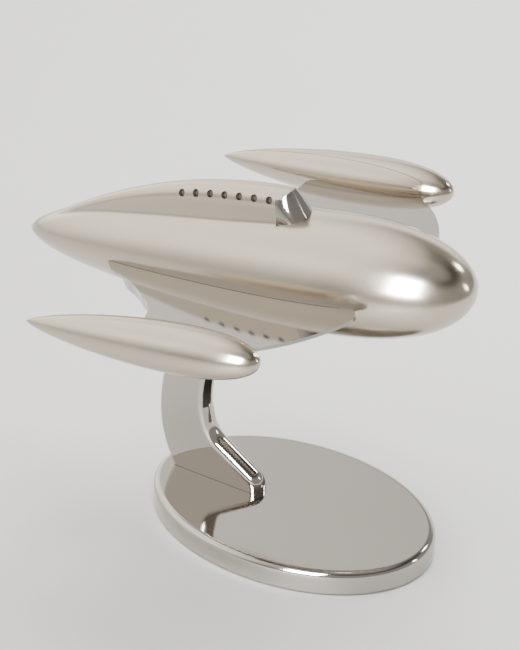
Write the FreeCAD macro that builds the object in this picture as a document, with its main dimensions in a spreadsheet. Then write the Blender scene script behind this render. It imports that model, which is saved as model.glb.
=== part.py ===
"""Rocket-ship desk sculpture: a nose-up hull on a curved pylon over an oval plinth.

World frame: +X towards the nose, +Y to port, +Z up, origin under the middle of the oval base
on the surface that it stands on. Hull, wing and pods are drawn in the ship frame (u along the
hull from the tail tip, v to port, w up from the wing's top face), which is pitched nose-up and
carried to the world frame by each sub-part's Placement. Millimetres and degrees.
"""
import FreeCAD, Part
import math
import os
import Sketcher

Vector = FreeCAD.Vector
Rotation = FreeCAD.Rotation
Placement = FreeCAD.Placement

doc = FreeCAD.newDocument("rocket_sculpture")

# --------------------------------------------------------------------------- driving sizes
SIZES = {
    # working room around the parts for blocks and bores that cut them
    "envelope": 80, "margin": 20,
    # oval base
    "base_length": 263, "base_width": 176, "base_height": 21.7, "base_lift": 0.5,
    "base_top_round": 6, "base_foot_round": 1, "felt_border": 6, "felt_recess": 1,
    "felt_play": 1,
    # pylon between base and hull
    "strut_thick": 18.5, "strut_nose_round": 9, "strut_tail_round": 3,
    "foot_rear_pos": -117, "foot_front_pos": -30.5, "toe_top_height": 34.6,
    "strut_rear_pos": -131, "strut_rear_height": 76,
    "waist_pos": -84, "waist_high": 92, "knee_pos": -79, "knee_height": 67,
    "strut_top_rear_pos": -66, "strut_top_front_pos": 8, "strut_top_height": 222,
    "heel_bow": 3.4, "back_bow": 17, "front_bow": -25.8, "knee_bend": 26, "toe_bend": 16,
    # ship frame
    "tail_pos": -265.6, "tail_height": 210.7, "ship_pitch": 11.7,
    # hull
    "hull_length": 448, "hull_girth": 40, "hull_swell": 38, "hull_crease": 2.5, "hull_wall": 3,
    # wing plan, port half: places along the hull and distances from its centreline
    "wing_thick": 3, "wing_root_thick": 11.5, "wing_root_aft": 104, "wing_root_flat": 36,
    "strake_pos": 115.5, "strake_reach": 48.3, "flare_pos": 144, "flare_reach": 61.3,
    "swoop_start_pos": 170, "swoop_start_reach": 81, "swoop_mid_pos": 188.5,
    "swoop_mid_reach": 99, "wing_tip_aft": 196, "wing_tip_reach": 125, "pod_bite": 14,
    "wing_tip_fore": 316, "bow_start_reach": 131, "bow_mid_pos": 351.5, "bow_mid_reach": 99.5,
    "wing_corner": 370.5, "corner_reach": 68, "corner_mid_pos": 369.7, "corner_mid_reach": 58.5,
    "corner_end_pos": 362.5, "corner_end_reach": 52, "wing_root_fore": 340.5,
    # tongue that carries the wing into both pods
    "tongue_aft": 222, "tongue_fore": 284, "tongue_reach": 144, "tongue_pin_inset": 12,
    "tongue_pin_border": 9, "pod_pin_length": 14,
    # pods
    "pod_length": 234.5, "pod_girth": 23, "pod_swell": 7, "pod_spread": 150.2, "pod_wall": 2.5,
    "pod_tail": 100.1, "pod_rise": 3.8, "pod_trim": 1.1, "cap_front": 213, "cap_tilt": 3.35,
    "cap_inset": 2.3, "cap_inset_at": 73,
    # cabin on the hull's back
    "spine_peak": 75, "spine_peak_at": 262, "spine_radius": 470, "spine_roof": 13.5,
    "spine_tip_roof": 4, "spine_start": 20, "spine_grow": 210, "spine_end": 273.6,
    "side_drop": 20, "side_flare": 5, "hood_end": 292, "hood_thick": 1.2, "hood_spring": 14.6,
    "porthole_size": 6.6, "porthole_depth": 5, "porthole_first": 176, "porthole_pitch": 15.2,
    "porthole_angle": 28, "cavity_border": 9, "cavity_width": 15, "cavity_height": 53,
    # windscreen: height, forward reach and half width of three sections through it
    "screen_centre": 275, "screen_foot": 44, "screen_foot_reach": 24, "screen_foot_half": 15.9,
    "screen_belt": 62, "screen_belt_reach": 16, "screen_belt_half": 13.6,
    "screen_top": 77, "screen_top_reach": 9.4, "screen_top_half": 7,
    # fasteners
    "bolt_radius": 4, "bolt_head_radius": 6.5, "bolt_head_height": 8, "bolt_first": -100,
    "bolt_pitch": 40, "bolt_grip": 16, "socket_radius": 3.44, "head_sink": 1,
    "washer_thick": 1.5, "washer_radius": 7.4, "rod_radius": 3, "rod_first": 190,
    "rod_pitch": 27, "rod_grip": 16, "rod_end": 2, "rod_washer_radius": 6.8, "nut_width": 10,
    "nut_height": 5, "crown_seat": 41.5, "spacer_radius": 6, "pin_radius": 1.5,
    "pin_length": 16, "screen_pin_pos": 283, "screen_pin_foot": 44, "thread_relief": 3,
    # clearances around fasteners
    "slack": 0.05, "ring_play": 0.2, "rod_play": 0.3, "shank_play": 0.5, "head_play": 0.6,
}

sheet = doc.addObject("Spreadsheet::Sheet", "sizes")
for row, (alias, value) in enumerate(SIZES.items(), start=1):
    sheet.set("A%d" % row, alias)
    sheet.set("B%d" % row, str(value))
    sheet.setAlias("B%d" % row, alias)
doc.recompute()


def size(alias):
    """A driving size, read back from the sheet."""
    return float(sheet.get(alias))


def bind(obj, **links):
    """Tie properties of an object to expressions over the sheet's aliases."""
    for prop, expression in links.items():
        text = expression
        for alias in sorted(SIZES, key=len, reverse=True):
            text = replace_word(text, alias, "sizes." + alias)
        obj.setExpression(prop, text)
    return obj


def replace_word(text, word, new):
    """Replace whole words only, and leave words that are already qualified."""
    out = []
    token = ""
    for char in text + " ":
        if char.isalnum() or char in "_.":
            token += char
            continue
        out.append(new if token == word else token)
        out.append(char)
        token = ""
    return "".join(out).strip()


def add(kind, name, **links):
    """A new document object with its properties bound to the sheet."""
    return bind(doc.addObject(kind, name), **links)


def shaped(name, shape, placement=None):
    """A plain feature for geometry that no primitive or sketch describes."""
    obj = doc.addObject("Part::Feature", name)
    obj.Shape = shape
    if placement is not None:
        obj.Placement = placement
    return obj


def cut(name, base, tool):
    obj = doc.addObject("Part::Cut", name)
    obj.Base = base
    obj.Tool = tool
    return obj


def common(name, base, tool):
    obj = doc.addObject("Part::Common", name)
    obj.Base = base
    obj.Tool = tool
    return obj


def fuse(name, *objects):
    obj = doc.addObject("Part::MultiFuse", name)
    obj.Shapes = list(objects)
    return obj


def group(name, *objects):
    """Separate solids that share one node."""
    obj = doc.addObject("Part::Compound", name)
    obj.Links = list(objects)
    return obj


def moved(obj, x="0", y="0", z="0"):
    """Bind the position of an object."""
    return bind(obj, **{"Placement.Base.x": x, "Placement.Base.y": y, "Placement.Base.z": z})


# --------------------------------------------------------------------------- frames
SHIP = Placement(Vector(size("tail_pos"), 0, size("tail_height")),
                 Rotation(Vector(0, 1, 0), -size("ship_pitch")))


def pod_frame(side):
    """Pod frame in the ship frame: x along the pod from its tail tip. side is -1 or +1."""
    return Placement(Vector(size("pod_tail"), side * size("pod_spread"), size("pod_rise")),
                     Rotation(Vector(0, 1, 0), size("pod_trim")))


# --------------------------------------------------------------------------- turned forms
STATIONS = 32       # points along a drawn curve
AXIS_GAP = 0.8      # a curve's inner points keep this far from the axis


def hull_radius(along):
    """Hull radius at a fraction of its length from the tail: an ellipse that swells forward."""
    return 2 * math.sqrt(along * (1 - along)) * (size("hull_girth") + size("hull_swell") * along ** 2)


def pod_radius(along):
    """Pod radius: a slender tail and a blunt nose."""
    girth = size("pod_girth") + size("pod_swell") * along ** 3
    return 2 * along ** 0.75 * math.sqrt(1 - along) * girth


def outline(radius_at, length, inset):
    """Half outline of a turned form, moved inwards by a wall thickness."""
    points = []
    for i in range(1, STATIONS):
        along = (1 - math.cos(math.pi * i / STATIONS)) / 2
        step = min(1e-4, along / 2, (1 - along) / 2)
        slope = (radius_at(along + step) - radius_at(along - step)) / (2 * step * length)
        lean = math.hypot(1, slope)
        x = along * length + inset * slope / lean
        r = radius_at(along) - inset / lean
        if r > AXIS_GAP:
            points.append(Vector(x, r, 0))
    return [Vector(inset, 0, 0)] + points + [Vector(length - inset, 0, 0)]


def turned(name, radius_at, length, inset=0.0):
    """A closed body of revolution about its own X axis."""
    points = outline(radius_at, length, inset)
    curve = Part.BSplineCurve()
    curve.interpolate(points)
    axis = Part.LineSegment(points[-1], points[0])
    face = Part.Face(Part.Wire([curve.toShape(), axis.toShape()]))
    profile = shaped(name + "_profile", face)
    solid = doc.addObject("Part::Revolution", name)
    solid.Source = profile
    solid.Axis = Vector(1, 0, 0)
    solid.Angle = 360
    solid.Solid = True
    return solid


def half_space(name, below):
    """A block that covers everything above, or below, the wing's top face."""
    block = add("Part::Box", name, Length="hull_length + 2 * margin", Width="2 * envelope",
                Height="envelope")
    return moved(block, "-margin", "-envelope", "-envelope" if below else "0")


# --------------------------------------------------------------------------- base
def ellipse_block(name, length, width, height, base_z):
    """An upright oval block centred on the origin."""
    oval = add("Part::Ellipse", name + "_outline",
               MajorRadius="(%s) / 2" % length, MinorRadius="(%s) / 2" % width)
    block = doc.addObject("Part::Extrusion", name)
    block.Base = oval
    block.DirMode = "Custom"
    block.Dir = Vector(0, 0, 1)
    block.Solid = True
    bind(block, LengthFwd=height)
    return moved(block, z=base_z)


def rounded(name, base, top_radius, foot_radius):
    """Round the outer top and bottom rims of an oval block."""
    doc.recompute()
    obj = doc.addObject("Part::Fillet", name)
    obj.Base = base
    rims = [i for i, edge in enumerate(base.Shape.Edges, start=1) if len(edge.Vertexes) == 1]
    rims.sort(key=lambda i: base.Shape.Edges[i - 1].CenterOfMass.z)
    obj.Edges = [(rims[0], foot_radius, foot_radius), (rims[-1], top_radius, top_radius)]
    return obj


def cylinder(name, radius, height, x="0", y="0", z="0"):
    return moved(add("Part::Cylinder", name, Radius=radius, Height=height), x, y, z)


def bolt_place(i):
    return "bolt_first + %d * bolt_pitch" % i


# heights of the face that the washers press on, and of the base's upper face
SEAT = "base_lift + felt_recess + bolt_head_height + head_sink + washer_thick"
TOP = "base_lift + base_height"


def make_base():
    plate = ellipse_block("plate_blank", "base_length", "base_width", "base_height", "base_lift")
    plate = rounded("plate_rounded", plate, size("base_top_round"), size("base_foot_round"))
    inner_length = "base_length - 2 * felt_border"
    inner_width = "base_width - 2 * felt_border"
    recess = ellipse_block("felt_pocket", inner_length, inner_width, "felt_recess", "base_lift")
    tools = [recess]
    for i in range(2):
        x = bolt_place(i)
        tools.append(cylinder("head_bore_%d" % i, "washer_radius + head_play", SEAT, x))
        tools.append(cylinder("shank_bore_%d" % i, "bolt_radius + shank_play", TOP + " + margin",
                              x))
    plate = cut("base_plate", plate, fuse("plate_tools", *tools))
    felt = ellipse_block("base_felt", inner_length + " - felt_play",
                         inner_width + " - felt_play",
                         "base_lift + felt_recess", "0")
    return [plate, felt]


def make_base_fasteners():
    bolts = []
    washers = []
    for i in range(2):
        x = bolt_place(i)
        under_head = SEAT + " - washer_thick"
        head = cylinder("bolt_head_%d" % i, "bolt_head_radius", "bolt_head_height", x,
                        z=under_head + " - bolt_head_height")
        shank = cylinder("bolt_shank_%d" % i, "bolt_radius",
                         "base_height + base_lift + bolt_grip - (%s)" % under_head, x, z=under_head)
        socket = add("Part::Prism", "bolt_socket_%d" % i, Circumradius="socket_radius",
                     Height="bolt_head_height / 2")
        moved(socket, x, z=under_head + " - bolt_head_height")
        bolts.append(cut("bolt_%d" % i, fuse("bolt_blank_%d" % i, head, shank), socket))
        ring = cylinder("washer_rim_%d" % i, "washer_radius", "washer_thick", x, z=under_head)
        hole = cylinder("washer_hole_%d" % i, "bolt_radius + ring_play", "washer_thick", x,
                        z=under_head)
        washers.append(cut("washer_%d" % i, ring, hole))
    return [group("base_bolts", *bolts), group("base_washers", *washers)]


# --------------------------------------------------------------------------- pylon
def strut_body():
    """Side outline in the XZ plane, padded to both sides, with a full-round leading edge."""
    body = doc.addObject("PartDesign::Body", "strut_body")
    sketch = body.newObject("Sketcher::SketchObject", "strut_outline")
    plane = [f for f in body.Origin.OriginFeatures if f.Role == "XZ_Plane"][0]
    sketch.AttachmentSupport = [(plane, "")]
    sketch.MapMode = "FlatFace"
    corners = {
        "heel": ("foot_rear_pos", "base_lift + base_height"),
        "back": ("strut_rear_pos", "strut_rear_height"),
        "top_back": ("strut_top_rear_pos", "strut_top_height"),
        "top_front": ("strut_top_front_pos", "strut_top_height"),
        "waist": ("waist_pos", "waist_high"),
        "knee": ("knee_pos", "knee_height"),
        "toe": ("foot_front_pos", "toe_top_height"),
        "toe_foot": ("foot_front_pos", "base_lift + base_height"),
    }
    # each side of the outline: where it ends, and how far an arc stands off the chord
    sides = [("heel", "back", size("heel_bow")), ("back", "top_back", size("back_bow")),
             ("top_back", "top_front", 0), ("top_front", "waist", size("front_bow")),
             ("waist", "knee", 0), ("knee", "toe", 0), ("toe", "toe_foot", 0),
             ("toe_foot", "heel", 0)]
    place = {name: Vector(evaluate(a), evaluate(b), 0) for name, (a, b) in corners.items()}
    first = []      # which end of each side is its first: an arc always runs anticlockwise
    for start, end, rise in sides:
        a = place[start]
        b = place[end]
        first.append(2 if rise > 0 else 1)
        if rise:
            chord = b - a
            middle = (a + b) * 0.5 + Vector(-chord.y, chord.x, 0).normalize() * rise
            ends = (b, a) if rise > 0 else (a, b)
            sketch.addGeometry(Part.Arc(ends[0], middle, ends[1]), False)
        else:
            sketch.addGeometry(Part.LineSegment(a, b), False)
    radii = {i: curve.Radius for i, curve in enumerate(sketch.Geometry)
             if isinstance(curve, Part.ArcOfCircle)}
    for i in range(len(sides)):
        following = (i + 1) % len(sides)
        sketch.addConstraint(Sketcher.Constraint(
            "Coincident", i, 3 - first[i], following, first[following]))
    for i, radius in radii.items():
        sketch.addConstraint(Sketcher.Constraint("Radius", i, radius))
    for i, (start, end, rise) in enumerate(sides):
        for kind, value, expression in (("DistanceX", place[start].x, corners[start][0]),
                                        ("DistanceY", place[start].y, corners[start][1])):
            label = start + "_" + kind[-1].lower()
            number = sketch.addConstraint(Sketcher.Constraint(
                kind, -1, 1, i, first[i], value))
            sketch.renameConstraint(number, label)
            bind(sketch, **{"Constraints." + label: expression})
    doc.recompute()
    pad = body.newObject("PartDesign::Pad", "strut_pad")
    pad.Profile = sketch
    pad.Midplane = True
    bind(pad, Length="strut_thick")
    doc.recompute()
    return body, pad


def evaluate(expression):
    """Value of a sum of aliases."""
    return sum(size(word.strip()) for word in expression.split("+"))


def outline_edges(shape, test):
    """Names of the edges along the flat sides whose middle passes the test."""
    names = []
    for i, edge in enumerate(shape.Edges, start=1):
        middle = edge.valueAt((edge.FirstParameter + edge.LastParameter) / 2)
        flat = all(abs(abs(v.Y) - size("strut_thick") / 2) < 1e-6 for v in edge.Vertexes)
        if flat and len({round(v.Y, 6) for v in edge.Vertexes}) == 1 and test(middle):
            names.append("Edge%d" % i)
    return names


def cross_edges(shape, x, z):
    """Names of the edges that cross the pylon's thickness at a corner of its outline."""
    names = []
    for i, edge in enumerate(shape.Edges, start=1):
        ends = edge.Vertexes
        across = len(ends) == 2 and abs(ends[0].Y - ends[1].Y) > size("strut_thick") - 1e-6
        if across and math.hypot(ends[0].X - x, ends[0].Z - z) < 0.01:
            names.append("Edge%d" % i)
    return names


def fillet(body, name, feature, edges, radius):
    obj = body.newObject("PartDesign::Fillet", name)
    obj.Base = (feature, edges)
    bind(obj, Radius=radius)
    doc.recompute()
    return obj


def make_strut(hull_form):
    body, feature = strut_body()
    for corner, x, z in (("knee", "knee_pos", "knee_height"),
                         ("toe", "foot_front_pos", "toe_top_height")):
        edges = cross_edges(feature.Shape, size(x), size(z))
        feature = fillet(body, corner + "_rounding", feature, edges, corner + "_bend")
    middle = (size("strut_rear_pos") + size("waist_pos")) / 2

    def leading(p):
        return p.x > middle and free(p)

    def trailing(p):
        return p.x < middle and free(p)

    def free(p):
        """Off the two end faces."""
        return evaluate(TOP) + 0.5 < p.z < size("strut_top_height") - 0.5

    feature = fillet(body, "leading_edge", feature, outline_edges(feature.Shape, leading),
                     "strut_nose_round")
    feature = fillet(body, "trailing_edge", feature, outline_edges(feature.Shape, trailing),
                     "strut_tail_round")
    body.Tip = feature
    doc.recompute()
    tools = [shaped("hull_seat", hull_form.Shape.copy(), SHIP.multiply(hull_form.Placement))]
    for i in range(2):
        tools.append(cylinder("strut_thread_%d" % i, "bolt_radius + slack",
                              "bolt_grip + thread_relief", bolt_place(i), z=TOP))
    for i in range(2):
        floor = -rod_depth(i) - size("thread_relief")
        bore = Part.makeCylinder(size("rod_radius") + size("slack"), -floor,
                                 Vector(size("rod_first") + i * size("rod_pitch"), 0, floor))
        tools.append(shaped("rod_thread_%d" % i, bore, SHIP))
    return cut("strut", body, fuse("strut_tools", *tools))


# --------------------------------------------------------------------------- hull
# dowels between hull and cabin: place along the hull, and height of the lower end
CABIN_PINS = (("150", "36"), ("250", "42"))


def belly(u):
    """Height of the hull's underside in the ship frame."""
    return size("hull_crease") - hull_radius(u / size("hull_length"))


def rod_depth(i):
    """How far a tie rod reaches below the wing's top face."""
    return size("rod_grip") - belly(size("rod_first") + i * size("rod_pitch"))


def make_hull_forms():
    """Outer and inner solids of both hull halves, in the ship frame, with a sunk or raised axis."""
    forms = {}
    for side, sign in (("upper", "-"), ("lower", "")):
        for skin, inset in (("outer", 0.0), ("inner", size("hull_wall"))):
            form = turned("hull_%s_%s" % (side, skin), hull_radius, size("hull_length"), inset)
            moved(form, z=sign + "hull_crease")
            forms[side, skin] = form
    return forms


def make_hull(forms, wing):
    shells = []
    for side in ("upper", "lower"):
        skin = cut("hull_%s_skin" % side, forms[side, "outer"], forms[side, "inner"])
        shell = common("hull_%s_half" % side, skin, half_space("half_%s" % side, side == "lower"))
        bores = []
        for i in range(2):
            x = "rod_first + %d * rod_pitch" % i
            bores.append(cylinder("%s_rod_bore_%d" % (side, i), "rod_radius + rod_play",
                                  "2 * envelope", x, z="-envelope"))
            if side == "upper":
                bores.append(cylinder("crown_seat_%d" % i, "washer_radius", "margin", x,
                                      z="crown_seat"))
                bores.append(cylinder("cabin_pin_bore_%d" % i, "pin_radius + slack",
                                      "envelope", CABIN_PINS[i][0]))
        if side == "upper":
            bores.append(cylinder("screen_pin_bore", "pin_radius + slack", "envelope",
                                  "screen_pin_pos"))
        if side == "lower":
            bores.append(wing)
        shells.append((side, cut("hull_%s_shell" % side, shell,
                                 fuse("hull_%s_tools" % side, *bores))))
    return [shell for side, shell in shells]


# --------------------------------------------------------------------------- wing
def wing_outline():
    """Plan of the one-piece wing: swept trailing edge, bowed leading edge, rounded corners."""
    def at(along, reach):
        return Vector(size(along), size(reach), 0)

    root = Vector(size("wing_root_aft"), 0, 0)
    root_end = at("wing_root_aft", "wing_root_flat")
    strake = at("strake_pos", "strake_reach")
    swoop = at("swoop_start_pos", "swoop_start_reach")
    tip_aft = at("wing_tip_aft", "wing_tip_reach")
    pod_aft = at("wing_tip_aft", "pod_spread")
    pod_fore = at("wing_tip_fore", "pod_spread") - Vector(size("pod_bite"), 0, 0)
    bow = at("wing_tip_fore", "bow_start_reach")
    corner = at("wing_corner", "corner_reach")
    corner_end = at("corner_end_pos", "corner_end_reach")
    port = [
        Part.LineSegment(root, root_end),
        Part.LineSegment(root_end, strake),
        Part.Arc(strake, at("flare_pos", "flare_reach"), swoop),
        Part.Arc(swoop, at("swoop_mid_pos", "swoop_mid_reach"), tip_aft),
        Part.LineSegment(tip_aft, pod_aft),
        Part.LineSegment(pod_aft, pod_fore),
        Part.LineSegment(pod_fore, bow),
        Part.Arc(bow, at("bow_mid_pos", "bow_mid_reach"), corner),
        Part.Arc(corner, at("corner_mid_pos", "corner_mid_reach"), corner_end),
        Part.LineSegment(corner_end, Vector(size("wing_root_fore"), 0, 0)),
    ]
    edges = [side.toShape() for side in port]
    edges += [edge.mirror(Vector(0, 0, 0), Vector(0, 1, 0)) for edge in edges]
    return Part.Wire(Part.sortEdges(edges)[0])


# corners of the gusset under each root, seen from above: where it leaves the plate, and its foot
GUSSET_HEAD = ((90, 15), (225, 15), (181, 101))
GUSSET_FOOT = ((90, 15), (180, 15), (175, 92))
GUSSET_OVERLAP = 0.5


def root_gusset(side):
    """The wing's underside thickens towards the aft end of its root."""
    rings = []
    for corners, height in ((GUSSET_HEAD, GUSSET_OVERLAP - size("wing_thick")),
                            (GUSSET_FOOT, -size("wing_root_thick"))):
        points = [Vector(u, side * v, height) for u, v in corners]
        rings.append(Part.makePolygon(points + points[:1]))
    return Part.makeLoft(rings, True, True)


TONGUE_PINS = ("tongue_aft + tongue_pin_inset", "tongue_fore - tongue_pin_inset")


def make_wing(pod_forms):
    plan = Part.Face(wing_outline())
    sheet_metal = plan.extrude(Vector(0, 0, -size("wing_thick")))
    block = plan.extrude(Vector(0, 0, -size("wing_root_thick")))
    slab = shaped("wing_slab", sheet_metal)
    gussets = [shaped("gusset_%d" % i, root_gusset(side).common(block))
               for i, side in enumerate((-1, 1))]
    planted = cut("wing_trimmed", fuse("wing_blank", slab, *gussets),
                  fuse("pod_forms", *pod_forms))
    tongue = add("Part::Box", "wing_tongue", Length="tongue_fore - tongue_aft",
                 Width="2 * tongue_reach", Height="wing_thick")
    moved(tongue, "tongue_aft", "-tongue_reach", "-wing_thick")
    bores = [cylinder("wing_rod_bore_%d" % i, "rod_radius + rod_play", "2 * margin",
                      "rod_first + %d * rod_pitch" % i, z="-margin") for i in range(2)]
    for side in ("-", ""):
        for x in TONGUE_PINS:
            bores.append(cylinder("tongue_hole", "pin_radius + slack", "2 * margin", x,
                                  side + "(tongue_reach - tongue_pin_border)", "-margin"))
    return cut("wing_form", fuse("wing_with_tongue", planted, tongue),
               fuse("wing_bores", *bores))


# --------------------------------------------------------------------------- pods
def cap_region():
    """Block that covers the inboard part of the port pod, behind the cap's front joint."""
    room = size("envelope")
    block = add("Part::Box", "cap_block", Length="cap_front + 2 * envelope", Width="envelope",
                Height="envelope")
    rotation = Rotation(Vector(0, 0, 1), -size("cap_tilt"))
    joint = Vector(size("cap_inset_at"), -size("cap_inset"), 0)
    corner = Vector(-room - size("cap_inset_at"), -room, -room / 2)
    block.Placement = Placement(joint + rotation.multVec(corner), rotation)
    fore = moved(add("Part::Box", "cap_fore", Length="2 * envelope", Width="2 * envelope",
                     Height="2 * envelope"), "cap_front", "-envelope", "-envelope")
    return cut("cap_region", block, fore)


def make_port_pod(skin):
    """Outer shell, inboard cap with a slot for the wing's tongue, and the pins behind it."""
    region = cap_region()
    shell = cut("port_pod_shell", skin, region)
    whole_cap = common("whole_cap", skin, region)
    tongue = Part.makeBox(size("tongue_fore") - size("tongue_aft"), 2 * size("tongue_reach"),
                          size("wing_thick"), Vector(size("tongue_aft"), -size("tongue_reach"),
                                                     -size("wing_thick")))
    slot = shaped("tongue_slot", tongue, pod_frame(1).inverse())
    cap = cut("port_pod_inner_cap", whole_cap, slot)
    pins = [cylinder("pod_pin_%d" % i, "pin_radius", "pod_pin_length", x,
                     "tongue_reach - tongue_pin_border", "-(wing_thick + pod_pin_length) / 2")
            for i, x in enumerate(TONGUE_PINS)]
    frame = SHIP.multiply(pod_frame(1))
    return [(shell, frame), (cap, frame), (group("port_pod_pins", *pins), SHIP)]


def mirrored(node):
    """The starboard twin of a port sub-part."""
    twin = doc.addObject("Part::Mirroring", node.Name.replace("port", "starboard"))
    twin.Source = node
    twin.Normal = Vector(0, 1, 0)
    return twin


# --------------------------------------------------------------------------- cabin
def spine_top(u):
    """Roof line of the cabin: a long arc that sinks into the hull near the tail."""
    return size("spine_peak") - (u - size("spine_peak_at")) ** 2 / (2 * size("spine_radius"))


def spine_roof(u):
    """Roof radius of the cabin, which narrows towards the tail."""
    grown = min(1.0, max(0.0, (u - size("spine_start")) / size("spine_grow")))
    return size("spine_tip_roof") + (size("spine_roof") - size("spine_tip_roof")) * grown


def loaf(u):
    """Cross section of the cabin: a round roof on sides that flare to the hull."""
    roof = spine_roof(u)
    centre = spine_top(u) - roof
    return arched(u, roof, centre, centre + roof)


def arched(u, half, spring, crown):
    """An arch between flared sides: half its width, and the heights of its ends and its top."""
    low = spring - size("side_drop")
    flare = half + size("side_flare")
    points = [Vector(u, flare, low), Vector(u, half, spring), Vector(u, 0, crown),
              Vector(u, -half, spring), Vector(u, -flare, low)]
    return Part.Wire([Part.LineSegment(points[4], points[0]).toShape(),
                      Part.LineSegment(points[0], points[1]).toShape(),
                      Part.Arc(points[1], points[2], points[3]).toShape(),
                      Part.LineSegment(points[3], points[4]).toShape()])


PORTHOLES = 7


def porthole(i, side):
    """A blind hole drilled in the shoulder of the roof, square to its surface."""
    u = size("porthole_first") + i * size("porthole_pitch")
    roof = spine_roof(u)
    angle = math.radians(size("porthole_angle"))
    outward = Vector(0, side * math.cos(angle), math.sin(angle))
    centre = Vector(u, 0, spine_top(u) - roof)
    start = centre + outward * (roof - size("porthole_depth"))
    return Part.makeCylinder(size("porthole_size") / 2, 2 * size("porthole_depth"), start, outward)


CABIN_STATIONS = (20, 70, 120, 170, 220)


def make_cabin(hull_form, screen_form, screen):
    """Long roof that ends in a thin hood over the windscreen."""
    loft = doc.addObject("Part::Loft", "cabin_blank")
    loft.Sections = [shaped("cabin_section_%d" % u, loaf(u))
                     for u in CABIN_STATIONS + (size("spine_end"), size("hood_end"))]
    loft.Solid = True
    bay = moved(add("Part::Box", "screen_bay", Length="envelope", Width="2 * envelope",
                    Height="2 * envelope"), "spine_end", "-envelope")
    tools = [cut("hood_trim", bay, screen_form), screen]
    for side in (-1, 1):
        tools += [shaped("porthole", porthole(i, side)) for i in range(PORTHOLES)]
    cavity = add("Part::Box", "nut_cavity", Length="rod_pitch + 2 * cavity_border",
                 Width="cavity_width", Height="cavity_height")
    tools.append(moved(cavity, "rod_first - cavity_border", "-cavity_width / 2"))
    for i, (x, foot) in enumerate(CABIN_PINS):
        tools.append(cylinder("cabin_pin_hole_%d" % i, "pin_radius + slack", "pin_length", x,
                              z=foot))
    seated = cut("cabin_seated", loft, hull_form)
    return cut("cabin_spine", seated, fuse("cabin_tools", *tools))


# how square each section of the windscreen is: 2 is an ellipse
SQUARENESS = {"foot": 2.4, "belt": 2.2, "top": 2.0}


def screen_section(level):
    """Half of a squared oval across the ship at one level of the windscreen."""
    height = size("screen_" + level)
    reach = size("screen_%s_reach" % level)
    half = size("screen_%s_half" % level)
    power = SQUARENESS[level]
    centre = size("screen_centre")
    points = []
    for i in range(STATIONS + 1):
        turn = math.pi * i / STATIONS
        forward = math.sin(turn)
        across = math.cos(turn)
        spread = (abs(forward) / reach) ** power + (abs(across) / half) ** power
        r = spread ** (-1 / power)
        points.append(Vector(centre + r * forward, -r * across, height))
    curve = Part.BSplineCurve()
    curve.interpolate(points)
    rear = centre - size("margin")
    behind = [Vector(rear, half, height), Vector(rear, -half, height)]
    sides = [Part.LineSegment(points[-1], behind[0]), Part.LineSegment(behind[0], behind[1]),
             Part.LineSegment(behind[1], points[0])]
    return Part.Wire([curve.toShape()] + [side.toShape() for side in sides])


def make_screen_forms():
    """The raked form that the windscreen and the hood's rim share, and the screen below the hood."""
    form = doc.addObject("Part::Loft", "screen_form")
    form.Sections = [shaped("screen_" + level, screen_section(level)) for level in SQUARENESS]
    form.Solid = True
    end = size("spine_end")
    spring = spine_top(end) - spine_roof(end)
    crown = spine_top(end) - size("hood_thick")
    arch = Part.Face(arched(end, size("hood_spring"), spring, crown))
    lining = shaped("screen_lining", arch.extrude(Vector(size("envelope"), 0, 0)))
    return form, common("screen_blank", form, lining)


def make_windscreen(screen, hull_form):
    """Raked visor that closes the front of the cabin under its hood."""
    bore = cylinder("screen_pin_hole", "pin_radius + slack", "pin_length", "screen_pin_pos",
                    z="screen_pin_foot")
    return cut("windscreen", cut("screen_seated", screen, hull_form), bore)


# --------------------------------------------------------------------------- hull fasteners
def make_ship_fasteners(forms, wing):
    rods, nuts, washers, low_spacers, high_spacers = [], [], [], [], []
    for i in range(2):
        x = "rod_first + %d * rod_pitch" % i
        depth = rod_depth(i)
        rods.append(cylinder("rod_%d" % i, "rod_radius",
                             "%r + crown_seat + washer_thick + nut_height + rod_end" % depth, x,
                             z=str(-depth)))
        hexagon = add("Part::Prism", "nut_blank_%d" % i, Circumradius="nut_width / sqrt(3)",
                      Height="nut_height")
        moved(hexagon, x, z="crown_seat + washer_thick")
        thread = cylinder("nut_thread_%d" % i, "rod_radius + slack", "nut_height", x,
                          z="crown_seat + washer_thick")
        nuts.append(cut("nut_%d" % i, hexagon, thread))
        ring = cylinder("rod_washer_rim_%d" % i, "rod_washer_radius", "washer_thick", x,
                        z="crown_seat")
        hole = cylinder("rod_washer_hole_%d" % i, "rod_radius + ring_play", "washer_thick", x,
                        z="crown_seat")
        washers.append(cut("rod_washer_%d" % i, ring, hole))
        for side, z, made in (("upper", "0", high_spacers),
                              ("lower", "-envelope - wing_thick", low_spacers)):
            tube = cylinder("%s_tube_%d" % (side, i), "spacer_radius", "envelope", x, z=z)
            bore = cylinder("%s_tube_bore_%d" % (side, i), "rod_radius + ring_play", "envelope",
                            x, z=z)
            sleeve = cut("%s_sleeve_%d" % (side, i), tube, bore)
            inside = common("%s_spacer_raw_%d" % (side, i), sleeve, forms[side, "inner"])
            made.append(cut("%s_spacer_%d" % (side, i), inside, wing))
    pins = [cylinder("cabin_pin_%d" % i, "pin_radius", "pin_length", x, z=foot)
            for i, (x, foot) in enumerate(CABIN_PINS)]
    screen_pin = cylinder("screen_pin", "pin_radius", "pin_length", "screen_pin_pos",
                          z="screen_pin_foot")
    return [group("tie_rods", *rods), group("tie_rod_nuts", *nuts),
            group("tie_rod_washers", *washers), group("lower_spacers", *low_spacers),
            group("upper_spacers", *high_spacers), group("cabin_pins", *pins),
            group("windscreen_pin", screen_pin)]


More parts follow.
